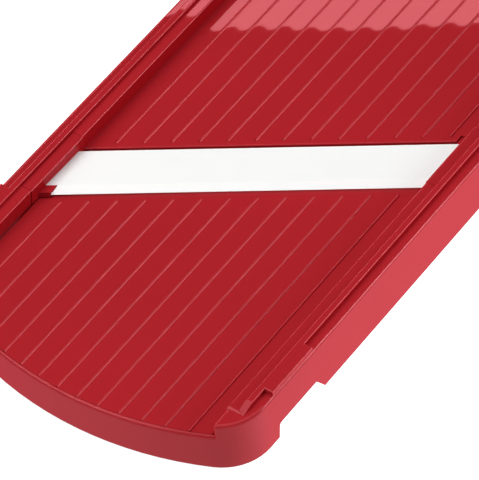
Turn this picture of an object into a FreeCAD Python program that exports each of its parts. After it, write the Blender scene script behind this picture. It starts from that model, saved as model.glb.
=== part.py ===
"""Adjustable ceramic mandoline slicer, as separate pieces, in millimetres.

X runs across the slicer, Y along it towards the handle, Z up.
The origin is under the middle of the slicer, on the surface that it lies on.
Food is pushed along +Y over the infeed table and the skewed blade, and the slices fall below.
Turning the knob underneath lowers the table on three helical ramps, so slices get thicker.
"""
import FreeCAD, Part
import math
import os

Vec = FreeCAD.Vector

# Overall
LENGTH = 268.6
HALF_WIDTH = 46.0
HANDLE_HALF = 19.0
DECK_Z = 13.4
OUTER_RAIL_Z = 18.0
LEDGE_Z = 18.25
RIDGE_Z = 19.4
WALL = 2.2
PLATE = 2.0

# Rounded toe: a wide arc with a smaller corner at each side, leaning in towards its foot
TOE_RADIUS = 87.0
CORNER_RADIUS = 14.0
TOE_LEAN = 2.7
EDGE_ROUND = 0.8
RAIL_ROUND = 0.35
LEAN_ANGLE = math.atan(TOE_LEAN / OUTER_RAIL_Z)
LOST_TO_ROUNDING = EDGE_ROUND * ((1 + math.sin(LEAN_ANGLE)) / math.cos(LEAN_ANGLE) - 1)
TOE_Y = -LENGTH / 2 - LOST_TO_ROUNDING
CORNER_X = HALF_WIDTH - CORNER_RADIUS
CORNER_FROM_TOE = TOE_RADIUS - math.sqrt((TOE_RADIUS - CORNER_RADIUS) ** 2 - CORNER_X ** 2)

# Shoulder from the body to the handle: a convex arc, then a concave one
SHOULDER_Y = 40.0
SHOULDER_RADIUS = 22.0
SHOULDER_TURN = math.radians(60.0)
NECK_RADIUS = ((HALF_WIDTH - SHOULDER_RADIUS + SHOULDER_RADIUS * math.cos(SHOULDER_TURN) - HANDLE_HALF)
               / (1 - math.cos(SHOULDER_TURN)))

# Side rails, from the deck outwards
CHANNEL_INNER = 38.76
INNER_WALL_OUT = 40.6
RIDGE_IN = 41.66
RIDGE_OUT = 43.4
RAIL_HOLLOW_TOP = 15.8
RAIL_HOLLOW_START_Y = -113.0
INNER_WALL_FOOT = 5.2
RIDGE_START_Y = -119.0
RIDGE_RISE = 4.0
RIDGE_END_Y = 42.0
TAB_START_Y = -110.0
TAB_END_Y = -93.2
TAB_OUT = 45.7
CHANNEL_END_Y = 50.0
CHANNEL_END_RADIUS = 10.0

# Ribs that food slides on
RIB_COUNT = 13
RIB_PITCH = 5.56
RIB_RADIUS = 0.37
RIB_HEIGHT = 0.28
RIB_FROM_BLADE = 1.6
RIB_FROM_TOE = 0.1
RIB_END_Y = 44.0

# Blade, set at a skew across the deck
SKEW = math.radians(36.0)
EDGE_Y = -59.7
EDGE_ABOVE_DECK = 0.9
BLADE_WIDTH = 13.9
BLADE_THICKNESS = 0.85
BEVEL_WIDTH = 2.4
BACK_CHAMFER = 0.3
EDGE_LAND = 0.08
BLADE_TILT = math.radians(1.6)
BLADE_END_X = 40.2
LUG_X = 36.2
OUTFEED_START = 15.7

# Blade carrier
BED_FRONT = 7.4
BED_BACK = 15.4
BED_FOOT_Z = 11.5
GROOVE_FLOOR_Z = 12.9
BLOCK_IN = 38.56
BLOCK_OUT = 41.56
BLOCK_FOOT_IN = 35.6
BLOCK_LENGTH = 21.3
BLOCK_LEFT_Y = -90.3
BLOCK_RIGHT_Y = -33.4
BLOCK_FOOT_Z = 11.0
CARRIER_SCREW_X = 37.6
CARRIER_SCREW_INSETS = (9.0, 17.0)

# Infeed table
TABLE_GAP = 0.5
TOE_LIP = 0.9
TABLE_TOE_GAP = 0.1
TABLE_TRAVEL = 2.5
# The table ends a little under the blade, past the line of its edge
TABLE_FRONT = 0.8
TABLE_FRONT_GAP = 0.35
TABLE_CORNER_CUT = 1.0
LUG_RELIEF = 0.3
TABLE_UNDER = DECK_Z - PLATE
STIFFENER_Z = 8.4
STIFFENER_THICK = 1.6
STIFFENERS_Y = (-110.0, -98.0)
POST_RADIUS = 2.0
POST_FOOT_Z = 4.4
POSTS = [(-24.0, -83.0), (33.0, -51.2), (-30.0, -121.2), (30.0, -121.2)]

# Floor webs of the frame under the table
WEB_TOP = 8.6
WEB_FOOT = 7.0
TOE_WEB_Y = -115.2
MID_WEB_Y = -86.2
WEB_FRONT_OF_EDGE = 1.3

# Bowl notches in the side walls
NOTCH_LOW_Y = -107.2
NOTCH_HIGH_Y = -87.9
NOTCH_SLOPE = 3.8
NOTCH_Z = 5.2
NOTCH_ROUND = 0.9

# Thickness knob and its ring
KNOB_X = 14.0
KNOB_Y = -70.2
FLANGE_RADIUS = 12.5
FLANGE_FOOT = 5.0
FLANGE_TOP = 6.8
RAMP_IN = 8.0
RAMP_OUT = 10.5
RAMP_TOP = WEB_TOP
RAMP_TURN = 90.0
RAMP_FLAT = 9.0
RAMPS = 3
KNOB_HOLE = 10.9
BOSS_RADIUS = 10.3
BOSS_FOOT = 3.6
GRIP_FOOT = 0.9
GRIP_LENGTH = 18.0
GRIP_WIDTH = 5.0
RING_RADIUS = 16.0
RING_HOLE = 10.35
RING_FOOT = 3.4
RING_TOP = 4.9
RING_SCREW_AT = 14.4
RING_SCREW_TURN = 60.0
FOOT_RADIUS = 0.8
RAMP_CLEARANCE = 0.1

# Screws, washers and springs
RING_SCREW = 0.9
RING_SCREW_HEAD = 1.5
CARRIER_SCREW = 1.3
CARRIER_SCREW_HEAD = 2.4
POST_SCREW = 0.9
POST_SCREW_HEAD = 1.9
HEAD_HEIGHT = 1.0
WASHER_RADIUS = 3.3
WASHER_HEIGHT = 0.5
SPRING_WIRE = 0.22
SPRING_RADIUS = 2.75
SPRING_HALF_TURNS = 7
SPRING_REST = 0.02
GUIDE_GAP = 0.08

# Click spring that holds the knob at each setting
SETTING_DROPS = (0.0, 0.8, 1.5, 2.5)
CLICK_NOTCH = 0.75
CLICK_DEPTH = 0.4
CLICK_NOSE = 0.7
CLICK_GAP = 0.08
CLICK_THICK = 0.3
CLICK_LENGTH = 15.0
CLICK_FOOT_Z = 5.2
CLICK_SCREW_AT = (30.6, -76.6)
CLICK_SCREW = 0.7
CLICK_SCREW_HEAD = 1.3
CLICK_BOSS = 1.8

# Handle
HANDLE_WALL = 2.6
HANDLE_SKIN = 3.0
HANG_RADIUS = 4.5
HANG_FROM_END = 12.0
HANG_BOSS = 3.0
BIG = 400.0

ALONG = Vec(math.cos(SKEW), math.sin(SKEW), 0)
AWAY = Vec(-math.sin(SKEW), math.cos(SKEW), 0)
UP = Vec(0, 0, 1)


def box(x0, x1, y0, y1, z0, z1):
    return Part.makeBox(x1 - x0, y1 - y0, z1 - z0, Vec(x0, y0, z0))


def rod(x, y, radius, z0, z1):
    return Part.makeCylinder(radius, z1 - z0, Vec(x, y, z0))


def prism(points, z0, z1):
    corners = [Vec(x, y, z0) for x, y in points]
    face = Part.Face(Part.makePolygon(corners + corners[:1]))
    return face.extrude(Vec(0, 0, z1 - z0))


def skewed(x, offset):
    """A point on the line that runs parallel to the cutting edge, offset towards the handle."""
    return x, EDGE_Y + (offset + x * math.sin(SKEW)) / math.cos(SKEW)


def skewed_strip(offset0, offset1, half, z0, z1):
    points = [skewed(-half, offset0), skewed(half, offset0), skewed(half, offset1), skewed(-half, offset1)]
    return prism(points, z0, z1)


def fused(shapes):
    return shapes[0].multiFuse(shapes[1:]).removeSplitter()


def cut_all(shape, tools):
    return shape.cut(Part.makeCompound(tools))


def toe_shift(z):
    """How far the toe stands in at this height, counted from where it is at deck level."""
    return TOE_LEAN * (DECK_Z - z) / OUTER_RAIL_Z


def arc(centre, radius, start, end, z):
    middle = (start + end) / 2
    points = [Vec(centre[0] + radius * math.cos(a), centre[1] + radius * math.sin(a), z)
              for a in (start, middle, end)]
    return Part.Arc(*points).toShape()


def line(a, b, z):
    return Part.LineSegment(Vec(a[0], a[1], z), Vec(b[0], b[1], z)).toShape()


def mirrored(edges):
    """The left-hand copies of right-hand edges, in the order that closes the outline."""
    return [edge.mirror(Vec(0, 0, 0), Vec(1, 0, 0)) for edge in reversed(edges)]


def toe_edges(z, inset):
    """The right half of the toe, from its middle to the end of the corner."""
    start_y = TOE_Y + toe_shift(z)
    centre = (0, start_y + TOE_RADIUS)
    corner = (CORNER_X, start_y + CORNER_FROM_TOE)
    meet = math.atan2(corner[1] - centre[1], corner[0])
    toe = arc(centre, TOE_RADIUS - inset, -math.pi / 2, meet, z)
    bend = arc(corner, CORNER_RADIUS - inset, meet, 0, z)
    return [toe, bend], (HALF_WIDTH - inset, corner[1])


def body_wire(z, inset=0.0):
    """The slicer's outline at one height: toe, straight sides, shoulders and handle."""
    edges, side = toe_edges(z, inset)
    shoulder = (HALF_WIDTH - SHOULDER_RADIUS, SHOULDER_Y)
    neck = (HANDLE_HALF + NECK_RADIUS,
            SHOULDER_Y + (SHOULDER_RADIUS + NECK_RADIUS) * math.sin(SHOULDER_TURN))
    handle_end = (0, LENGTH / 2 - HANDLE_HALF)
    handle_side = HANDLE_HALF - inset
    edges.append(line(side, (HALF_WIDTH - inset, SHOULDER_Y), z))
    edges.append(arc(shoulder, SHOULDER_RADIUS - inset, 0, SHOULDER_TURN, z))
    edges.append(arc(neck, NECK_RADIUS + inset, math.pi + SHOULDER_TURN, math.pi, z))
    edges.append(line((handle_side, neck[1]), (handle_side, handle_end[1]), z))
    edges.append(arc(handle_end, handle_side, 0, math.pi / 2, z))
    return Part.Wire(Part.__sortEdges__(edges + mirrored(edges)))


def body_solid(z0, z1, inset=0.0):
    return Part.makeLoft([body_wire(z0, inset), body_wire(z1, inset)], True, True)


def toe_region(y1, z0, z1, inset):
    """Everything inside the toe up to y1, with its edge parallel to the toe."""
    return body_solid(z0, z1, inset).common(box(-CHANNEL_INNER, CHANNEL_INNER, TOE_Y, y1, z0, z1))


def rounded_end_box(half, y0, y1, radius, z0, z1):
    """A box whose two corners at y1 are round."""
    shape = box(-half, half, y0, y1, z0, z1)
    upright = [edge for edge in shape.Edges
               if abs(edge.Vertexes[0].Y - y1) < 0.01 and abs(edge.Vertexes[1].Y - y1) < 0.01
               and abs(edge.Vertexes[0].Z - edge.Vertexes[1].Z) > 1]
    return shape.makeFillet(radius, upright)


def rib_bars(y_start, y_end):
    """The raised bars, each from y_start(x) to y_end(x)."""
    bars = []
    for index in range(RIB_COUNT):
        x = (index - (RIB_COUNT - 1) / 2) * RIB_PITCH
        length = y_end(x) - y_start(x)
        centre = Vec(x, y_start(x), DECK_Z + RIB_HEIGHT - RIB_RADIUS)
        bars.append(Part.makeCylinder(RIB_RADIUS, length, centre, Vec(0, 1, 0)))
    return bars


def toe_y_at(x, z, inset):
    centre_y = TOE_Y + toe_shift(z) + TOE_RADIUS
    return centre_y - math.sqrt((TOE_RADIUS - inset) ** 2 - x ** 2)


def around_knob(radius, degrees):
    angle = math.radians(degrees)
    return KNOB_X + radius * math.cos(angle), KNOB_Y + radius * math.sin(angle)


def ring_screw_points():
    return [around_knob(RING_SCREW_AT, RING_SCREW_TURN + 120.0 * index) for index in range(3)]


def carrier_screw_points():
    points = []
    for sign, start in ((-1, BLOCK_LEFT_Y), (1, BLOCK_RIGHT_Y)):
        for inset in CARRIER_SCREW_INSETS:
            points.append((sign * CARRIER_SCREW_X, start + inset))
    return points


def rail_cuts():
    """The hollows below the rails."""
    right = box(INNER_WALL_OUT, HALF_WIDTH - WALL, RAIL_HOLLOW_START_Y, SHOULDER_Y, -1, RAIL_HOLLOW_TOP)
    return [right, right.mirror(Vec(0, 0, 0), Vec(1, 0, 0))]


def rounded_edges(shape, radius, low_z):
    """Round every edge that lies wholly above low_z."""
    high = [edge for edge in shape.Edges if min(v.Z for v in edge.Vertexes) > low_z]
    return shape.makeFillet(radius, high)


def rounded_along(shape, x, z):
    """Round the edges that run lengthwise at this x and this height."""
    edges = [edge for edge in shape.Edges
             if all(abs(v.X - x) < 0.01 and abs(v.Z - z) < 0.01 for v in edge.Vertexes)]
    return shape.makeFillet(RAIL_ROUND, edges)


def ramped_bar(x0, x1, y0, y1, top):
    """A bar along the rail that rises out of it at both ends."""
    foot = OUTER_RAIL_Z - 1
    rise = RIDGE_RISE * (top - OUTER_RAIL_Z) / (RIDGE_Z - OUTER_RAIL_Z)
    points = [(y0, foot), (y1, foot), (y1, OUTER_RAIL_Z - 0.1), (y1 - rise, top), (y0 + rise, top),
              (y0, OUTER_RAIL_Z - 0.1)]
    corners = [Vec(x0, y, z) for y, z in points]
    face = Part.Face(Part.makePolygon(corners + corners[:1]))
    return face.extrude(Vec(x1 - x0, 0, 0))


def rail_tops():
    """The ledge, ridge and tab that stand on each rail."""
    ledge = ramped_bar(CHANNEL_INNER, RIDGE_IN + 0.5, RIDGE_START_Y, RIDGE_END_Y, LEDGE_Z)
    ridge = ramped_bar(RIDGE_IN, RIDGE_OUT, RIDGE_START_Y, RIDGE_END_Y, RIDGE_Z)
    tab = box(RIDGE_OUT - 1, TAB_OUT, TAB_START_Y, TAB_END_Y, OUTER_RAIL_Z - 1, RIDGE_Z)
    ledge = rounded_along(ledge, CHANNEL_INNER, LEDGE_Z)
    ridge = rounded_edges(ridge, RAIL_ROUND, OUTER_RAIL_Z + 0.2)
    tab = rounded_edges(tab, RAIL_ROUND, RIDGE_Z - 0.01)
    right = [ledge, ridge, tab]
    return right + [bar.mirror(Vec(0, 0, 0), Vec(1, 0, 0)) for bar in right]


def block_pockets():
    """Pockets in the rails for the carrier's end blocks, with room for its feet inside them."""
    pockets = []
    for sign, y0 in ((-1, BLOCK_LEFT_Y), (1, BLOCK_RIGHT_Y)):
        low, high = sorted((sign * (BLOCK_FOOT_IN - 0.2), sign * (BLOCK_OUT + 0.1)))
        pockets.append(box(low, high, y0 - 0.1, y0 + BLOCK_LENGTH + 0.1, BLOCK_FOOT_Z, RIDGE_Z + 1))
    return pockets


def block_shelves():
    """Solid shelves that carry the end blocks and take their screws."""
    shelves = []
    for sign, y0 in ((-1, BLOCK_LEFT_Y), (1, BLOCK_RIGHT_Y)):
        low, high = sorted((sign * (BLOCK_FOOT_IN - 0.2), sign * (HALF_WIDTH - WALL + 0.3)))
        shelves.append(box(low, high, y0 - 1.5, y0 + BLOCK_LENGTH + 1.5, WEB_FOOT, BLOCK_FOOT_Z))
    return shelves


def notch_cut():
    """The step under both side walls that a bowl's rim sits in."""
    points = [(NOTCH_LOW_Y, -1), (NOTCH_HIGH_Y, -1), (NOTCH_HIGH_Y, 0),
              (NOTCH_HIGH_Y - NOTCH_SLOPE, NOTCH_Z), (NOTCH_LOW_Y, NOTCH_Z)]
    corners = [Vec(-HALF_WIDTH - 1, y, z) for y, z in points]
    face = Part.Face(Part.makePolygon(corners + corners[:1]))
    cut = face.extrude(Vec(2 * HALF_WIDTH + 2, 0, 0))
    roof_corners = [edge for edge in cut.Edges if min(v.Z for v in edge.Vertexes) > NOTCH_Z - 0.01
                    and abs(edge.Vertexes[0].X - edge.Vertexes[1].X) > 1]
    return cut.makeFillet(NOTCH_ROUND, roof_corners)


def floor_webs():
    """The two webs under the table: one at the toe, one ahead of the blade."""
    toe_web = toe_region(TOE_WEB_Y, WEB_FOOT, WEB_TOP, WALL - 0.2)
    half = INNER_WALL_OUT - 0.3
    corner_x = (skewed(0, -WEB_FRONT_OF_EDGE)[1] - MID_WEB_Y) / math.tan(SKEW)
    left = -min(half, corner_x)
    points = [(left, MID_WEB_Y), (half, MID_WEB_Y), skewed(half, -WEB_FRONT_OF_EDGE),
              skewed(left, -WEB_FRONT_OF_EDGE)]
    mid_web = prism(points, WEB_FOOT, WEB_TOP)
    mid_web = mid_web.cut(rod(KNOB_X, KNOB_Y, KNOB_HOLE, WEB_FOOT - 1, WEB_TOP + 1))
    bosses = [rod(x, y, RING_SCREW + 0.7, RING_TOP, WEB_TOP) for x, y in ring_screw_points()]
    click_boss = rod(*CLICK_SCREW_AT, CLICK_BOSS, CLICK_FOOT_Z + CLICK_THICK, WEB_TOP)
    return [toe_web, mid_web, click_boss] + bosses


def handle_hollow():
    hollow = body_solid(-1, OUTER_RAIL_Z - HANDLE_SKIN, HANDLE_WALL)
    start_y = CHANNEL_END_Y + HANDLE_WALL
    return hollow.common(box(-HALF_WIDTH, HALF_WIDTH, start_y, LENGTH / 2, -1, OUTER_RAIL_Z))


def rounded_rim(body):
    """Round the rim, the channel's edges, and the step down to the deck at the toe."""
    edges = []
    for edge in body.Edges:
        low = min(v.Z for v in edge.Vertexes)
        at_toe = all(v.Y < TOE_Y + CORNER_FROM_TOE for v in edge.Vertexes)
        if low > OUTER_RAIL_Z - 0.01 or (at_toe and low > DECK_Z - 0.01 and not runs_along(edge)):
            edges.append(edge)
    return body.makeFillet(EDGE_ROUND, edges)


def rounded_outfeed_edge(body):
    """Round the outfeed deck's edge behind the blade."""
    edges = []
    for edge in body.Edges:
        offsets = [(v.Y - EDGE_Y) * math.cos(SKEW) - v.X * math.sin(SKEW) for v in edge.Vertexes]
        on_line = all(abs(offset - OUTFEED_START) < 0.01 for offset in offsets)
        if on_line and min(v.Z for v in edge.Vertexes) > DECK_Z - 0.01:
            edges.append(edge)
    return body.makeFillet(RAIL_ROUND, edges)


def runs_along(edge):
    ends = edge.Vertexes
    return abs(ends[0].X - ends[-1].X) < 0.01 and abs(ends[0].Z - ends[-1].Z) < 0.01


def make_frame():
    channel = rounded_end_box(CHANNEL_INNER, TOE_Y - 5, CHANNEL_END_Y, CHANNEL_END_RADIUS,
                              DECK_Z, RIDGE_Z + 1)
    body = rounded_rim(body_solid(0, OUTER_RAIL_Z).cut(channel))
    cavity = body_solid(-1, TABLE_UNDER, WALL).common(
        box(-CHANNEL_INNER, CHANNEL_INNER, TOE_Y, CHANNEL_END_Y - WALL, -1, TABLE_UNDER))
    chute_back = [(-CHANNEL_INNER, TOE_Y), (CHANNEL_INNER, TOE_Y),
                  skewed(CHANNEL_INNER, OUTFEED_START), skewed(-CHANNEL_INNER, OUTFEED_START)]
    opening = body_solid(TABLE_UNDER - 1, DECK_Z, TOE_LIP).common(
        prism(chute_back, TABLE_UNDER - 1, DECK_Z + 1))
    inner_wall_gap = box(-INNER_WALL_OUT, INNER_WALL_OUT, RIDGE_START_Y + 1, SHOULDER_Y, -1, INNER_WALL_FOOT)
    body = cut_all(body, [cavity, opening, inner_wall_gap, handle_hollow()] + rail_cuts())
    body = rounded_outfeed_edge(body)
    body = fused([body] + rail_tops() + block_shelves() + floor_webs() + hang_boss() + outfeed_ribs())
    screw_holes = [rod(x, y, CARRIER_SCREW + 0.1, 0, BLOCK_FOOT_Z + 1) for x, y in carrier_screw_points()]
    ring_holes = [rod(x, y, RING_SCREW - 0.1, 0, WEB_TOP + 1) for x, y in ring_screw_points()]
    head_room = [rod(x, y, CARRIER_SCREW_HEAD + 0.3, 0, WEB_FOOT) for x, y in carrier_screw_points()]
    guides = [rod(x, y, POST_RADIUS + GUIDE_GAP, 0, WEB_TOP + 1) for x, y in POSTS]
    hang_hole = rod(0, LENGTH / 2 - HANG_FROM_END, HANG_RADIUS, -1, RIDGE_Z)
    click_hole = rod(*CLICK_SCREW_AT, CLICK_SCREW, 0, WEB_TOP - 0.4)
    return cut_all(body, block_pockets() + screw_holes + ring_holes + head_room + guides
                   + [hang_hole, notch_cut(), click_hole] + table_room())


def hang_boss():
    return [rod(0, LENGTH / 2 - HANG_FROM_END, HANG_RADIUS + HANG_BOSS, 0, OUTER_RAIL_Z - EDGE_ROUND)]


def outfeed_ribs():
    start = OUTFEED_START + RIB_FROM_BLADE
    return rib_bars(lambda x: skewed(x, start)[1], lambda x: RIB_END_Y)


def table_outline(half, front_offset):
    """The table's footprint, square at the toe and skewed at the blade."""
    return [(-half, TOE_Y), (half, TOE_Y), skewed(half, front_offset), skewed(-half, front_offset)]


def table_room():
    """The space that the table sweeps through, with the toe's lean below its lowest top edge."""
    floor_z = TABLE_UNDER - TABLE_TRAVEL - 0.3
    lowest = DECK_Z - TABLE_TRAVEL
    footprint = prism(table_outline(CHANNEL_INNER, TABLE_FRONT + TABLE_FRONT_GAP), floor_z, DECK_Z + 0.1)
    upright = Part.Face(body_wire(DECK_Z, TOE_LIP))
    upright.translate(Vec(0, 0, -TABLE_TRAVEL))
    upright = upright.extrude(Vec(0, 0, TABLE_TRAVEL + 0.1))
    leaning = body_solid(TABLE_UNDER - 0.3, DECK_Z, TOE_LIP)
    leaning.translate(Vec(0, 0, lowest - DECK_Z))
    return [upright.common(footprint), leaning.common(footprint)]


def table_feet():
    """Round-tipped feet that ride on the knob's ramps."""
    feet = []
    tip_z = RAMP_TOP + RAMP_CLEARANCE
    for index in range(RAMPS):
        angle = 360.0 / RAMPS * index
        inner = Vec(*around_knob(RAMP_IN + 0.3, angle), tip_z + FOOT_RADIUS)
        outward = Vec(math.cos(math.radians(angle)), math.sin(math.radians(angle)), 0)
        length = RAMP_OUT - RAMP_IN - 0.6
        tip = Part.makeCylinder(FOOT_RADIUS, length, inner, outward)
        stem = Part.makeBox(length, 2 * FOOT_RADIUS, TABLE_UNDER - inner.z + 0.2)
        stem.translate(Vec(0, -FOOT_RADIUS, 0))
        stem.rotate(Vec(0, 0, 0), UP, angle)
        stem.translate(inner)
        feet += [tip, stem]
    return feet


def make_infeed_table():
    half = CHANNEL_INNER - TABLE_GAP
    toe_inset = TOE_LIP + TABLE_TOE_GAP
    plate = body_solid(TABLE_UNDER, DECK_Z, toe_inset).common(
        prism(table_outline(half, TABLE_FRONT), TABLE_UNDER, DECK_Z))
    clipped = skewed(-half + TABLE_CORNER_CUT, TABLE_FRONT)
    corner = [clipped, (-half - 1, clipped[1]), (-half - 1, clipped[1] - 2 * TABLE_CORNER_CUT)]
    plate = plate.cut(prism(corner, TABLE_UNDER - 1, DECK_Z + 1))
    below_lug = skewed_strip(-LUG_RELIEF, TABLE_FRONT + 1, half + 1, DECK_Z - LUG_RELIEF, DECK_Z + 1)
    plate = plate.cut(below_lug.common(box(-half - 1, LUG_RELIEF - LUG_X, -BIG / 2, BIG / 2, 0, RIDGE_Z)))
    ribs = rib_bars(lambda x: toe_y_at(x, DECK_Z, toe_inset + RIB_FROM_TOE),
                    lambda x: skewed(x, -RIB_FROM_BLADE)[1])
    stiffeners = [box(-half + 4, half - 4, y, y + STIFFENER_THICK, STIFFENER_Z, TABLE_UNDER + 0.2)
                  for y in STIFFENERS_Y]
    posts = [rod(x, y, POST_RADIUS, POST_FOOT_Z, TABLE_UNDER + 0.2) for x, y in POSTS]
    table = fused([plate] + ribs + stiffeners + posts + table_feet())
    return cut_all(table, [rod(x, y, POST_SCREW - 0.1, 0, POST_FOOT_Z + 4) for x, y in POSTS])


def in_blade_frame(shape):
    """Move a shape from blade axes (x along the edge, y back from it, z up) into place."""
    shape.rotate(Vec(0, 0, 0), Vec(1, 0, 0), -math.degrees(BLADE_TILT))
    shape.rotate(Vec(0, 0, 0), UP, math.degrees(SKEW))
    shape.translate(Vec(0, EDGE_Y, DECK_Z + EDGE_ABOVE_DECK))
    return shape


def blade_bar(profile):
    corners = [Vec(-BIG / 4, y, z) for y, z in profile]
    face = Part.Face(Part.makePolygon(corners + corners[:1]))
    return in_blade_frame(face.extrude(Vec(BIG / 2, 0, 0)))


def lug_shape(extra):
    """The corner of the blade's left end that a lug of the carrier takes the place of."""
    profile = [(-1, -1), (BEVEL_WIDTH + extra, -1), (BEVEL_WIDTH + extra, 5), (-1, 5)]
    return blade_bar(profile).common(box(-BIG / 4, -LUG_X + extra, -BIG / 2, BIG / 2, 0, RIDGE_Z))


def make_blade():
    profile = [(0, 0), (BLADE_WIDTH, 0), (BLADE_WIDTH, BLADE_THICKNESS - BACK_CHAMFER),
               (BLADE_WIDTH - BACK_CHAMFER, BLADE_THICKNESS), (BEVEL_WIDTH, BLADE_THICKNESS), (0, EDGE_LAND)]
    bar = blade_bar(profile)
    bar = bar.common(box(-BLADE_END_X, BLADE_END_X, -BIG / 2, BIG / 2, 0, RIDGE_Z))
    return bar.cut(lug_shape(0.05))


def make_carrier():
    bed = skewed_strip(BED_FRONT, BED_BACK, BLOCK_IN + 0.1, BED_FOOT_Z, DECK_Z + EDGE_ABOVE_DECK)
    above_bed = blade_bar([(-5, 0), (BLADE_WIDTH + 0.2, 0), (BLADE_WIDTH + 0.2, 8), (-5, 8)])
    groove = skewed_strip(BLADE_WIDTH + 0.15, BED_BACK + 1, BLOCK_IN, GROOVE_FLOOR_Z, RIDGE_Z)
    bed = bed.cut(above_bed).cut(groove)
    blocks = []
    for sign, y0 in ((-1, BLOCK_LEFT_Y), (1, BLOCK_RIGHT_Y)):
        low, high = sorted((sign * BLOCK_IN, sign * BLOCK_OUT))
        block = box(low, high, y0, y0 + BLOCK_LENGTH, BLOCK_FOOT_Z, LEDGE_Z)
        blocks.append(rounded_along(block, sign * BLOCK_IN, LEDGE_Z))
        low, high = sorted((sign * BLOCK_FOOT_IN, sign * (BLOCK_IN + 1)))
        foot = box(low, high, y0, y0 + BLOCK_LENGTH, BLOCK_FOOT_Z, GROOVE_FLOOR_Z)
        blocks.append(foot.cut(skewed_strip(-BIG / 4, 1.0, HALF_WIDTH, 0, RIDGE_Z)))
    lug = lug_shape(0.0).common(box(-BLOCK_IN - 0.5, -LUG_X, -BIG / 2, BIG / 2, BED_FOOT_Z, RIDGE_Z))
    lug = lug.common(blade_bar([(0, -2), (BEVEL_WIDTH, -2), (BEVEL_WIDTH, BLADE_THICKNESS),
                                (0, BLADE_THICKNESS)]))
    carrier = fused([bed] + blocks + [lug])
    carrier = carrier.cut(make_blade())
    return cut_all(carrier, [rod(x, y, CARRIER_SCREW - 0.1, 0, GROOVE_FLOOR_Z - 0.6)
                             for x, y in carrier_screw_points()])


def make_screw(x, y, radius, head_radius, head_z, tip_z):
    """A pan-head screw driven upwards, with a cross recess under its head."""
    head = rod(x, y, head_radius, head_z, head_z + HEAD_HEIGHT)
    head = head.makeFillet(0.3, [head.Edges[2]])
    shank = rod(x, y, radius, head_z + 0.1, tip_z)
    arm = head_radius * 0.55
    cross = [box(x - arm, x + arm, y - 0.18, y + 0.18, head_z - 1, head_z + 0.5),
             box(x - 0.18, x + 0.18, y - arm, y + arm, head_z - 1, head_z + 0.5)]
    return cut_all(head.fuse(shank), cross)


def make_carrier_screws():
    return [make_screw(x, y, CARRIER_SCREW - 0.1, CARRIER_SCREW_HEAD, WEB_FOOT - HEAD_HEIGHT,
                       GROOVE_FLOOR_Z - 0.8) for x, y in carrier_screw_points()]


def make_ring_screws():
    return [make_screw(x, y, RING_SCREW - 0.1, RING_SCREW_HEAD, RING_FOOT - HEAD_HEIGHT, WEB_TOP - 0.6)
            for x, y in ring_screw_points()]


def make_post_screws():
    head_z = POST_FOOT_Z - WASHER_HEIGHT - HEAD_HEIGHT
    return [make_screw(x, y, POST_SCREW - 0.1, POST_SCREW_HEAD, head_z, POST_FOOT_Z + 3.6) for x, y in POSTS]


def make_post_washers():
    return [rod(x, y, WASHER_RADIUS, POST_FOOT_Z - WASHER_HEIGHT, POST_FOOT_Z).cut(
        rod(x, y, POST_SCREW, 0, POST_FOOT_Z + 1)) for x, y in POSTS]


def make_spring(x, y):
    """A short coil between the web and the washer, pulling the table down on the ramps.

    It is made of half turns, each a flat half ring tilted so that its far end stands half a pitch higher.
    """
    low_z = POST_FOOT_Z + SPRING_WIRE + SPRING_REST
    rise = (WEB_FOOT - SPRING_WIRE - SPRING_REST - low_z) / SPRING_HALF_TURNS
    ring_radius = math.hypot(SPRING_RADIUS, rise / 2)
    tilt = math.degrees(math.asin(rise / 2 / ring_radius))
    halves = []
    for index in range(SPRING_HALF_TURNS):
        half = Part.makeTorus(ring_radius, SPRING_WIRE, Vec(0, 0, 0), UP, 0, 360, 180)
        half.rotate(Vec(0, 0, 0), UP, 180 * (index % 2))
        half.rotate(Vec(0, 0, 0), Vec(0, 1, 0), tilt if index % 2 == 0 else -tilt)
        half.translate(Vec(x, y, low_z + (index + 0.5) * rise))
        halves.append(half)
    return fused(halves)


def helix_ramp(angle):
    """One ramp: a level land, a helical rise and another level land."""
    pitch = TABLE_TRAVEL * 360.0 / RAMP_TURN
    path = Part.Wire(Part.makeHelix(pitch, TABLE_TRAVEL, RAMP_OUT).Edges)
    depth = 4.0
    width = RAMP_OUT - RAMP_IN
    corners = [Vec(RAMP_OUT, 0, 0), Vec(RAMP_OUT - width, 0, 0),
               Vec(RAMP_OUT - width, 0, -depth), Vec(RAMP_OUT, 0, -depth)]
    section = Part.makePolygon(corners + corners[:1])
    rise = path.makePipeShell([section], True, True)
    low_z = RAMP_TOP - TABLE_TRAVEL
    rise.rotate(Vec(0, 0, 0), UP, -RAMP_TURN)
    rise.translate(Vec(0, 0, low_z))
    top_land = sector(0, RAMP_FLAT, RAMP_TOP)
    low_land = sector(-RAMP_TURN - RAMP_FLAT, -RAMP_TURN, low_z)
    rise = rise.common(Part.makeCylinder(RAMP_OUT + 1, RAMP_TOP - FLANGE_FOOT + 1, Vec(0, 0, FLANGE_FOOT)))
    ramp = rise.fuse([top_land, low_land])
    ramp.rotate(Vec(0, 0, 0), UP, angle)
    return ramp


def sector(start, end, top):
    face = Part.makeCylinder(RAMP_OUT, top - FLANGE_FOOT, Vec(0, 0, FLANGE_FOOT), UP, end - start)
    core = Part.makeCylinder(RAMP_IN, top - FLANGE_FOOT, Vec(0, 0, FLANGE_FOOT))
    face.rotate(Vec(0, 0, 0), UP, start)
    return face.cut(core)


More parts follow.
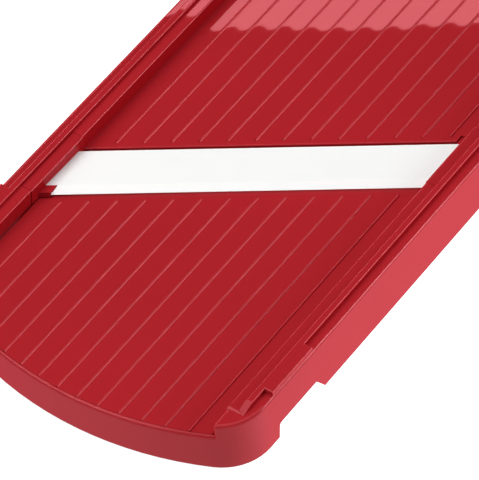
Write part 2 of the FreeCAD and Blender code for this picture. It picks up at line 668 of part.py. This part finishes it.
def make_knob():
    flange = Part.makeCylinder(FLANGE_RADIUS, FLANGE_TOP - FLANGE_FOOT, Vec(0, 0, FLANGE_FOOT))
    groove = Part.makeCylinder(RAMP_OUT + 0.1, 5, Vec(0, 0, FLANGE_FOOT + 0.8))
    notches = []
    for drop in SETTING_DROPS:
        angle = math.radians(-RAMP_TURN * drop / TABLE_TRAVEL)
        reach = FLANGE_RADIUS + CLICK_NOTCH - CLICK_DEPTH
        notches.append(rod(reach * math.cos(angle), reach * math.sin(angle), CLICK_NOTCH, 0, RIDGE_Z))
    flange = cut_all(flange, [groove] + notches)
    boss = Part.makeCylinder(BOSS_RADIUS, FLANGE_FOOT + 0.5 - BOSS_FOOT, Vec(0, 0, BOSS_FOOT))
    bar = box(-GRIP_LENGTH / 2, GRIP_LENGTH / 2, -GRIP_WIDTH / 2, GRIP_WIDTH / 2, GRIP_FOOT, BOSS_FOOT + 0.3)
    upright = [edge for edge in bar.Edges if abs(edge.Vertexes[0].Z - edge.Vertexes[1].Z) > 1]
    bar = bar.makeFillet(GRIP_WIDTH / 2 - 0.1, upright)
    ramps = [helix_ramp(360.0 / RAMPS * index) for index in range(RAMPS)]
    knob = fused([flange, boss, bar] + ramps)
    knob.translate(Vec(KNOB_X, KNOB_Y, 0))
    return knob


def make_click_spring():
    """A strip on edge beside the knob, with a nose that drops into the rim's notches."""
    nose_x = KNOB_X + FLANGE_RADIUS + CLICK_GAP + CLICK_NOSE
    start_y = CLICK_SCREW_AT[1] - CLICK_BOSS
    strip = box(nose_x, nose_x + CLICK_THICK, start_y, start_y + CLICK_LENGTH, CLICK_FOOT_Z, FLANGE_TOP)
    nose = rod(nose_x, KNOB_Y, CLICK_NOSE, CLICK_FOOT_Z, FLANGE_TOP)
    nose = nose.cut(box(nose_x + CLICK_THICK, nose_x + 5, KNOB_Y - 5, KNOB_Y + 5, 0, RIDGE_Z))
    nose = nose.cut(rod(nose_x + CLICK_THICK, KNOB_Y, CLICK_NOSE - CLICK_THICK, 0, RIDGE_Z))
    foot_end = CLICK_SCREW_AT[0] + CLICK_BOSS
    foot = box(nose_x, foot_end, start_y, start_y + 2 * CLICK_BOSS, CLICK_FOOT_Z, CLICK_FOOT_Z + CLICK_THICK)
    spring = fused([strip, nose, foot])
    return spring.cut(rod(*CLICK_SCREW_AT, CLICK_SCREW + 0.1, 0, WEB_TOP))


def make_click_screw():
    return make_screw(*CLICK_SCREW_AT, CLICK_SCREW, CLICK_SCREW_HEAD, CLICK_FOOT_Z - HEAD_HEIGHT,
                      WEB_TOP - 0.6)


def make_knob_ring():
    ring = rod(KNOB_X, KNOB_Y, RING_RADIUS, RING_FOOT, RING_TOP)
    ring = ring.cut(rod(KNOB_X, KNOB_Y, RING_HOLE, 0, RING_TOP + 1))
    return cut_all(ring, [rod(x, y, RING_SCREW, 0, RING_TOP + 1) for x, y in ring_screw_points()])


def write(name, shapes):
    shape = Part.makeCompound(shapes) if isinstance(shapes, list) else shapes
    solids = shape.Solids
    bounds = shape.optimalBoundingBox()
    print(f"{name}: {len(solids)} solid(s), valid {shape.isValid()}, volume {shape.Volume:.1f}, "
          f"z {bounds.ZMin:.2f} to {bounds.ZMax:.2f}")
    if len(solids) == 1:
        shape = solids[0]
    shape.exportStep(f"parts/{name}.step")


def main():
    os.makedirs("parts", exist_ok=True)
    write("frame", make_frame())
    write("infeed_table", make_infeed_table())
    write("blade", make_blade())
    write("blade_carrier", make_carrier())
    write("carrier_screws", make_carrier_screws())
    write("thickness_knob", make_knob())
    write("knob_ring", make_knob_ring())
    write("ring_screws", make_ring_screws())
    write("click_spring", make_click_spring())
    write("click_spring_screw", make_click_screw())
    write("post_washers", make_post_washers())
    write("post_screws", make_post_screws())
    for index, (x, y) in enumerate(POSTS):
        write(f"return_spring_{index + 1}", make_spring(x, y))


main()
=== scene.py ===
"""Looks for the adjustable mandoline slicer: glossy red mouldings, a white ceramic blade, steel screws.

Everything is in metres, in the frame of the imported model.
"""
import math

import bmesh
import bpy
from mathutils import Matrix, Vector


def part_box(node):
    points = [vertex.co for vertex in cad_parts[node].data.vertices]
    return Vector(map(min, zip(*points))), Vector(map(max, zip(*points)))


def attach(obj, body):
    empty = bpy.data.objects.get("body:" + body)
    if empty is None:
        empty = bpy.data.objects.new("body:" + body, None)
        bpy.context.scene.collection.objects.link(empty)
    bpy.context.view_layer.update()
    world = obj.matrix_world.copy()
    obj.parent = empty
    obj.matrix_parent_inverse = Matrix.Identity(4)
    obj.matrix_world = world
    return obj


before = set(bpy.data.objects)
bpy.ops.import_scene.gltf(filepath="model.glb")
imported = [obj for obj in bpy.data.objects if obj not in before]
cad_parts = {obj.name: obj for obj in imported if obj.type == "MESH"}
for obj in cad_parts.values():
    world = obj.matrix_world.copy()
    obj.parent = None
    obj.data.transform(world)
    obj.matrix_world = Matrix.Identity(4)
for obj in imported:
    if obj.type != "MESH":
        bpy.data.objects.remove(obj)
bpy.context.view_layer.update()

MM = 0.001
BLACK = (0.0, 0.0, 0.0, 1.0)
WHITE = (1.0, 1.0, 1.0, 1.0)

# Camera: the side it looks from, how far away it is, and its lens
CAMERA_AZIMUTH = math.radians(34.5266)
CAMERA_ELEVATION = math.radians(49.2429)
CAMERA_DISTANCE = 1.2072
CAMERA_LENS = 374.7
CAMERA_SENSOR = 36.0
CAMERA_CLIP = (0.05, 20.0)
# The point it looks at lies on the deck, one rib's height below the top of the table's box
TOE_TO_AIM = 0.0631
AIM_X = 0.00956
RIB_HEIGHT = 0.28 * MM

# Soft studio light: name, place from the aim point, which way its first side runs, size, radiance
LIGHTS = (
    ("window_right", (2.40, 1.66, 0.99), (0.33, 0.0, -0.80), (1.5, 0.55), 18.0),
    ("strip_left", (-2.10, 1.66, 1.41), (0.47, 0.0, 0.70), (0.6, 0.55), 4.0),
    ("strip_over", (-0.444, -0.54, 0.976), (0.0, 0.87, 0.48), (0.06, 0.84), 20.0),
    ("top", (0.0, 0.0, 1.2), (1.0, 0.0, 0.0), (1.3, 1.3), 1.45),
    ("top_left", (-0.50, -0.36, 1.03), (0.0, 1.0, 0.0), (0.8, 0.8), 0.9),
    ("fill_front", (-0.35, -0.85, 0.72), (0.92, -0.38, 0.0), (1.0, 0.7), 1.7),
)
# The softbox that the far deck mirrors stands upright, at a place from the origin
SOFTBOX_PLACE = (-0.515, 0.747, 0.873)
SOFTBOX_FACING = (0.567, -0.824, 0.0)
SOFTBOX_ALONG = (0.824, 0.567, 0.0)
SOFTBOX_SIZE = (1.5, 0.20)
SOFTBOX_RADIANCE = 6.0
WORLD_LEVEL = 0.06
# The white floor glows less in front of the toe than beside the slicer, with a blend between
FLOOR_GLOW = (1.02, 1.6)
FLOOR_GLOW_FROM_TOE = (0.010, 0.022)
FLOOR_HALF = 4.0

# Raised numbers on the underside of the ring, one for each click, and the bar that points to them
NUMBER_RADIUS = 11.65 * MM
NUMBER_HEIGHT = 1.7 * MM
NUMBER_RAISED = 0.1 * MM
NUMBER_SOFT = 0.02 * MM
# Height of a figure as a share of the font's size
CAP_HEIGHT = 0.7
CLICK_ANGLES = (0.0, 28.8, 54.0, 90.0)
POINTER_LENGTH = 3.4 * MM
POINTER_WIDTH = 0.7 * MM
POINTER_RAISED = 0.08 * MM
POINTER_END = 8.4 * MM
POINTER_BEVEL_STEPS = 3

# The span of a noise that its darker and lighter tones are blended across.
# Each noise below is given as its scale and its detail
TONE_SPAN = (0.3, 0.7)

# Red plastic: its colour, the tints of its shine and of its clear skin, and its faint flow marks
RED = (0.372, 0.026, 0.034)
SHINE_TINT = (1.0, 0.6, 0.62, 1.0)
SKIN_TINT = (1.0, 0.64, 0.68, 1.0)
RED_IOR = 1.5
SKIN_IOR = 1.0
FLOW_NOISE = (14.0, 4.0)
FLOW_TONES = (0.95, 1.05)
# Its level decks are polished, its edges and walls are duller, and a noise varies both a little
EDGE_ROUGHNESS = 0.24
DECK_ROUGHNESS = 0.012
DECK_UPWARD = (0.90, 0.997)
POLISH_NOISE = (60.0, 5.0)
POLISH_RANGE = (0.7, 1.3)
# Faint shape of the moulded decks, which shows only in what they mirror
PANEL_PITCH = 5.56 * MM
PANEL_WAVE = 0.0006 * MM
UNEVENNESS = 0.025 * MM
UNEVENNESS_NOISE = (30.0, 1.0)

# Satin ceramic. Painted light: the base colour is painted whiter on the bevel and on every other face
# that faces less upward than the flat, standing in for the brighter light the bevel catches
CERAMIC_TONES = ((0.75, 0.75, 0.742), (0.77, 0.77, 0.762))
CERAMIC_CLOUD = (40.0, 3.0)
BEVEL_PAINTED_LIGHT = 1.15
FLAT_UPWARD = (0.955, 0.985)
CERAMIC_ROUGHNESS = (0.28, 0.34)
CERAMIC_LINES = (40.0, 2.0)
CERAMIC_LINES_STRETCH = (60.0, 4.0, 4.0)
CERAMIC_BUMP = (0.008, 0.03 * MM)
CERAMIC_IOR = 2.1
CERAMIC_SPECULAR = 0.2

# Steel: how its streaks vary the tone and the roughness that a piece is given
STEEL_STREAKS = (300.0, 3.0)
STEEL_STREAKS_STRETCH = (1.0, 1.0, 8.0)
STEEL_DARK = 0.92
STEEL_BLUER = 1.02
STEEL_ROUGHNESS_RANGE = (0.8, 1.3)
STEEL_BUMP = (0.08, 0.03 * MM)
SCREW_LEVEL, SCREW_ROUGHNESS = 0.62, 0.3
SPRING_LEVEL, SPRING_ROUGHNESS = 0.7, 0.22

# Satin grey plastic of the knob
KNOB_TONES = ((0.66, 0.65, 0.63), (0.7, 0.69, 0.67))
KNOB_CLOUD = (50.0, 3.0)
KNOB_GRAIN = (1400.0, 3.0)
KNOB_ROUGHNESS = (0.38, 0.52)
KNOB_BUMP = (0.25, 0.06 * MM)

# The other red pieces are very slightly darker than the frame
TABLE_TINT = 0.99
CARRIER_TINT = 0.97
RING_TINT = 0.96


def new_material(name):
    material = bpy.data.materials.new(name)
    material.use_nodes = True
    tree = material.node_tree
    return material, tree, tree.nodes["Principled BSDF"]


def new_object(name, data):
    item = bpy.data.objects.new(name, data)
    bpy.context.collection.objects.link(item)
    return item


def add_node(tree, kind, **values):
    node = tree.nodes.new(kind)
    for socket, value in values.items():
        node.inputs[socket].default_value = value
    return node


def object_coordinates(tree, scale=(1.0, 1.0, 1.0)):
    place = tree.nodes.new("ShaderNodeTexCoord")
    mapping = add_node(tree, "ShaderNodeMapping", Scale=scale)
    tree.links.new(place.outputs["Object"], mapping.inputs["Vector"])
    return mapping.outputs["Vector"]


def split(tree, vector):
    """A vector's X, Y and Z, by name."""
    axes = tree.nodes.new("ShaderNodeSeparateXYZ")
    tree.links.new(vector, axes.inputs["Vector"])
    return axes.outputs


def upward(tree):
    """Z of the surface's own direction: 1 on level tops, 0 on upright walls, below 0 underneath."""
    place = tree.nodes.new("ShaderNodeTexCoord")
    return split(tree, place.outputs["Normal"])["Z"]


def noise(tree, vector, scale, detail):
    node = add_node(tree, "ShaderNodeTexNoise", Scale=scale, Detail=detail)
    tree.links.new(vector, node.inputs["Vector"])
    return node.outputs["Fac"]


def tones(tree, factor, dark, light):
    """A colour that runs from dark to light across the middle of a noise."""
    node = tree.nodes.new("ShaderNodeValToRGB")
    for element, position, colour in zip(node.color_ramp.elements, TONE_SPAN, (dark, light)):
        element.position = position
        element.color = (*colour, 1.0)
    tree.links.new(factor, node.inputs["Fac"])
    return node.outputs["Color"]


def spread(tree, factor, low, high, start=0.0, end=1.0):
    """Low where the factor is at the start, high where it is at the end, and held beyond them."""
    node = tree.nodes.new("ShaderNodeMapRange")
    node.inputs["From Min"].default_value = start
    node.inputs["From Max"].default_value = end
    node.inputs["To Min"].default_value = low
    node.inputs["To Max"].default_value = high
    tree.links.new(factor, node.inputs["Value"])
    return node.outputs["Result"]


def bump(tree, shader, height, strength, distance):
    node = add_node(tree, "ShaderNodeBump", Strength=strength, Distance=distance)
    tree.links.new(height, node.inputs["Height"])
    tree.links.new(node.outputs["Normal"], shader.inputs["Normal"])


def math_node(tree, operation, first, second=0.0):
    node = tree.nodes.new("ShaderNodeMath")
    node.operation = operation
    for socket, value in zip(node.inputs, (first, second)):
        if isinstance(value, float):
            socket.default_value = value
        else:
            tree.links.new(value, socket)
    return node.outputs["Value"]


def scaled(colour, factor):
    return tuple(channel * factor for channel in colour)


def moulded_waviness(tree, where):
    """Height in metres: every panel dips between its two ribs, and the whole skin is slightly uneven."""
    across = math_node(tree, "MULTIPLY", split(tree, where)["X"], math.tau / PANEL_PITCH)
    wave = math_node(tree, "MULTIPLY", math_node(tree, "COSINE", across), PANEL_WAVE)
    uneven = noise(tree, where, *UNEVENNESS_NOISE)
    return math_node(tree, "ADD", wave, math_node(tree, "MULTIPLY", uneven, UNEVENNESS))


def red_plastic(name, tint=1.0):
    """Glossy injection-moulded plastic with faint flow marks and a skin that is not quite flat."""
    material, tree, shader = new_material(name)
    where = object_coordinates(tree)
    flow = noise(tree, where, *FLOW_NOISE)
    colour = tones(tree, flow, *(scaled(RED, tint * tone) for tone in FLOW_TONES))
    tree.links.new(colour, shader.inputs["Base Color"])
    varied = spread(tree, noise(tree, where, *POLISH_NOISE), *POLISH_RANGE)
    dullness = spread(tree, upward(tree), EDGE_ROUGHNESS, DECK_ROUGHNESS, *DECK_UPWARD)
    tree.links.new(math_node(tree, "MULTIPLY", varied, dullness), shader.inputs["Roughness"])
    # The height is in metres already, so the bump takes it as it is
    bump(tree, shader, moulded_waviness(tree, where), 1.0, 1.0)
    shader.inputs["IOR"].default_value = RED_IOR
    shader.inputs["Specular Tint"].default_value = SHINE_TINT
    shader.inputs["Coat Weight"].default_value = 1.0
    shader.inputs["Coat IOR"].default_value = SKIN_IOR
    shader.inputs["Coat Tint"].default_value = SKIN_TINT
    return material


def ceramic():
    """Satin white zirconia with faint grinding lines along the slicer, and painted light: a whiter base
    colour on the bevel and other faces that face less upward.
    """
    material, tree, shader = new_material("zirconia")
    cloud = noise(tree, object_coordinates(tree), *CERAMIC_CLOUD)
    colour = tree.nodes.new("ShaderNodeVectorMath")
    colour.operation = "SCALE"
    tree.links.new(tones(tree, cloud, *CERAMIC_TONES), colour.inputs[0])
    # Painted highlight: faces that face less upward than the flat, the bevel among them, get a whiter
    # base colour
    tree.links.new(spread(tree, upward(tree), BEVEL_PAINTED_LIGHT, 1.0, *FLAT_UPWARD), colour.inputs["Scale"])
    tree.links.new(colour.outputs["Vector"], shader.inputs["Base Color"])
    lines = noise(tree, object_coordinates(tree, CERAMIC_LINES_STRETCH), *CERAMIC_LINES)
    tree.links.new(spread(tree, lines, *CERAMIC_ROUGHNESS), shader.inputs["Roughness"])
    bump(tree, shader, lines, *CERAMIC_BUMP)
    shader.inputs["IOR"].default_value = CERAMIC_IOR
    shader.inputs["Specular IOR Level"].default_value = CERAMIC_SPECULAR
    return material


def steel(name, level, roughness):
    """Streaked plain steel at the given tone and roughness."""
    material, tree, shader = new_material(name)
    streak = noise(tree, object_coordinates(tree, STEEL_STREAKS_STRETCH), *STEEL_STREAKS)
    colour = tones(tree, streak, (level * STEEL_DARK,) * 3, (level, level, level * STEEL_BLUER))
    tree.links.new(colour, shader.inputs["Base Color"])
    low, high = (roughness * factor for factor in STEEL_ROUGHNESS_RANGE)
    tree.links.new(spread(tree, streak, low, high), shader.inputs["Roughness"])
    bump(tree, shader, streak, *STEEL_BUMP)
    shader.inputs["Metallic"].default_value = 1.0
    return material


def knob_plastic():
    """Satin plastic with a fine moulded grain."""
    material, tree, shader = new_material("knob_satin")
    where = object_coordinates(tree)
    colour = tones(tree, noise(tree, where, *KNOB_CLOUD), *KNOB_TONES)
    tree.links.new(colour, shader.inputs["Base Color"])
    grain = noise(tree, where, *KNOB_GRAIN)
    tree.links.new(spread(tree, grain, *KNOB_ROUGHNESS), shader.inputs["Roughness"])
    bump(tree, shader, grain, *KNOB_BUMP)
    return material


def set_material(mesh, material):
    mesh.materials.clear()
    mesh.materials.append(material)


def paint(node, material):
    set_material(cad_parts[node].data, material)


def number_mesh(text):
    """A figure with soft edges. Half of its depth sinks into the face it stands on."""
    letters = bpy.data.curves.new("number_" + text, "FONT")
    letters.body = text
    letters.size = NUMBER_HEIGHT / CAP_HEIGHT
    letters.extrude = NUMBER_RAISED - NUMBER_SOFT
    letters.bevel_depth = NUMBER_SOFT
    letters.align_x = "CENTER"
    letters.align_y = "CENTER"
    carrier = bpy.data.objects.new("letters", letters)
    mesh = bpy.data.meshes.new_from_object(carrier)
    bpy.data.objects.remove(carrier)
    bpy.data.curves.remove(letters)
    return mesh


def add_piece(name, mesh, material):
    set_material(mesh, material)
    piece = new_object(name, mesh)
    return piece


def ring_middle():
    """Middle of the ring's underside."""
    low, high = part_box("knob_ring")
    return Vector(((low[0] + high[0]) / 2, (low[1] + high[1]) / 2, low[2]))


def add_numbers(material):
    """One raised number for each click, read from below with its head away from the knob."""
    down = Vector((0, 0, -1))
    for number, degrees in enumerate(CLICK_ANGLES, start=1):
        turn = math.radians(degrees)
        outward = Vector((math.cos(turn), math.sin(turn), 0))
        axes = Matrix((outward.cross(down), outward, down)).transposed().to_4x4()
        piece = add_piece(f"number_{number}", number_mesh(str(number)), material)
        piece.matrix_world = Matrix.Translation(ring_middle() + outward * NUMBER_RADIUS) @ axes
        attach(piece, "frame_body")


def add_pointer(material):
    """A low bar on the underside of the grip, with softened edges, that points to the number in use."""
    build = bmesh.new()
    bmesh.ops.create_cube(build, size=1.0)
    # Half of the bar's height sinks into the grip
    bmesh.ops.scale(build, vec=(POINTER_LENGTH, POINTER_WIDTH, 2 * POINTER_RAISED), verts=build.verts)
    bmesh.ops.bevel(build, geom=build.edges[:], offset=POINTER_RAISED / 2, segments=POINTER_BEVEL_STEPS,
                    affect="EDGES")
    mesh = bpy.data.meshes.new("pointer")
    build.to_mesh(mesh)
    build.free()
    piece = add_piece("pointer", mesh, material)
    middle = ring_middle()
    grip_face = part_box("thickness_knob")[0][2]
    piece.location = (middle.x + POINTER_END - POINTER_LENGTH / 2, middle.y, grip_face)
    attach(piece, "knob_body")


def paint_all():
    screw_steel = steel("screw_steel", SCREW_LEVEL, SCREW_ROUGHNESS)
    spring_steel = steel("spring_steel", SPRING_LEVEL, SPRING_ROUGHNESS)
    ring = red_plastic("ring_red", RING_TINT)
    knob = knob_plastic()
    paint("frame", red_plastic("body_red"))
    paint("infeed_table", red_plastic("table_red", TABLE_TINT))
    paint("blade_carrier", red_plastic("carrier_red", CARRIER_TINT))
    paint("knob_ring", ring)
    paint("blade", ceramic())
    paint("thickness_knob", knob)
    add_numbers(ring)
    add_pointer(knob)
    for node in ("carrier_screws", "ring_screws", "click_spring_screw", "post_washers", "post_screws"):
        paint(node, screw_steel)
    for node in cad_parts:
        if node == "click_spring" or node.startswith("return_spring"):
            paint(node, spring_steel)


def toe_y():
    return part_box("frame")[0][1]


def add_floor():
    mesh = bpy.data.meshes.new("floor")
    corners = [(x * FLOOR_HALF, y * FLOOR_HALF, 0) for x, y in ((-1, -1), (1, -1), (1, 1), (-1, 1))]
    mesh.from_pydata(corners, [], [(0, 1, 2, 3)])
    floor = new_object("floor", mesh)
    material, tree, shader = new_material("floor_white")
    shader.inputs["Base Color"].default_value = BLACK
    shader.inputs["Roughness"].default_value = 1.0
    shader.inputs["Specular IOR Level"].default_value = 0.0
    shader.inputs["Emission Color"].default_value = WHITE
    near, far = (toe_y() + step for step in FLOOR_GLOW_FROM_TOE)
    glow = spread(tree, split(tree, object_coordinates(tree))["Y"], *FLOOR_GLOW, near, far)
    tree.links.new(glow, shader.inputs["Emission Strength"])
    mesh.materials.append(material)


def aim_point():
    return Vector((AIM_X, toe_y() + TOE_TO_AIM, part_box("infeed_table")[1][2] - RIB_HEIGHT))


def add_light(name, place, facing, along, size, radiance):
    """A soft rectangle of light, with its first side as close to `along` as its facing allows."""
    data = bpy.data.lights.new(name, "AREA")
    data.shape = "RECTANGLE"
    data.size, data.size_y = size
    data.energy = radiance * math.pi * size[0] * size[1]
    light = new_object(name, data)
    back = -Vector(facing).normalized()
    side = Vector(along)
    side = (side - back * side.dot(back)).normalized()
    turn = Matrix((side, back.cross(side), back)).transposed()
    light.matrix_world = Matrix.Translation(place) @ turn.to_4x4()


def add_studio():
    scene = bpy.context.scene
    world = bpy.data.worlds.new("studio")
    world.use_nodes = True
    background = world.node_tree.nodes["Background"]
    background.inputs["Color"].default_value = WHITE
    background.inputs["Strength"].default_value = WORLD_LEVEL
    scene.world = world
    scene.view_settings.view_transform = "Standard"
    for name, place, along, size, radiance in LIGHTS:
        add_light(name, aim_point() + Vector(place), -Vector(place), along, size, radiance)
    add_light("softbox_back", Vector(SOFTBOX_PLACE), SOFTBOX_FACING, SOFTBOX_ALONG, SOFTBOX_SIZE,
              SOFTBOX_RADIANCE)


def add_camera():
    data = bpy.data.cameras.new("camera")
    data.sensor_fit = "HORIZONTAL"
    data.sensor_width = CAMERA_SENSOR
    data.lens = CAMERA_LENS
    data.clip_start, data.clip_end = CAMERA_CLIP
    camera = new_object("camera", data)
    back = Vector((math.sin(CAMERA_AZIMUTH) * math.cos(CAMERA_ELEVATION),
                   -math.cos(CAMERA_AZIMUTH) * math.cos(CAMERA_ELEVATION),
                   math.sin(CAMERA_ELEVATION)))
    camera.location = aim_point() + back * CAMERA_DISTANCE
    camera.rotation_euler = (-back).to_track_quat("-Z", "Y").to_euler()
    bpy.context.scene.camera = camera


add_camera()
add_studio()
add_floor()
paint_all()
